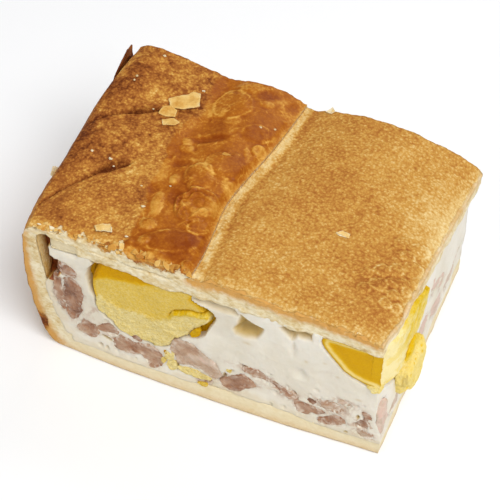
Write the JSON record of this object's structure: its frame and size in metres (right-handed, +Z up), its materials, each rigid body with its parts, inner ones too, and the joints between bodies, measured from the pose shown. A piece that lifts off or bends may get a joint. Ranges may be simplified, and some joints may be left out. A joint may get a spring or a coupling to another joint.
{
  "type": "bacon and egg pie slice",
  "caption": "Thick square-cut slice of bacon and egg pie: browned pastry folded over the top, with set egg white, whole cut yolks and chopped bacon showing at the cuts.",
  "frame": {"origin": "middle of the slice's bounding box, on the table under its base", "axes": "+X along the front cut from the crust wall to the right-hand cut, +Y from the front cut to the back cut, +Z up"},
  "size_m": [0.1095, 0.0738, 0.0516],
  "materials": {
    "pastry_case": "baked pastry, browned and part glazed outside, pale and flaky where cut",
    "pastry_lid": "baked pastry, golden outside, pale and flaky where cut",
    "egg_white": "set egg white, moist and smooth",
    "bacon": "cooked chopped bacon, moist",
    "yolk": "hard-set egg yolk, matt and crumbly"
  },
  "bodies": {
    "root": {"pastry_case": "pastry_case", "pastry_lid": "pastry_lid", "egg_white": "egg_white", "bacon_bed": "bacon", "yolk_left": "yolk", "yolk_right": "yolk"}
  },
  "joints": []
}
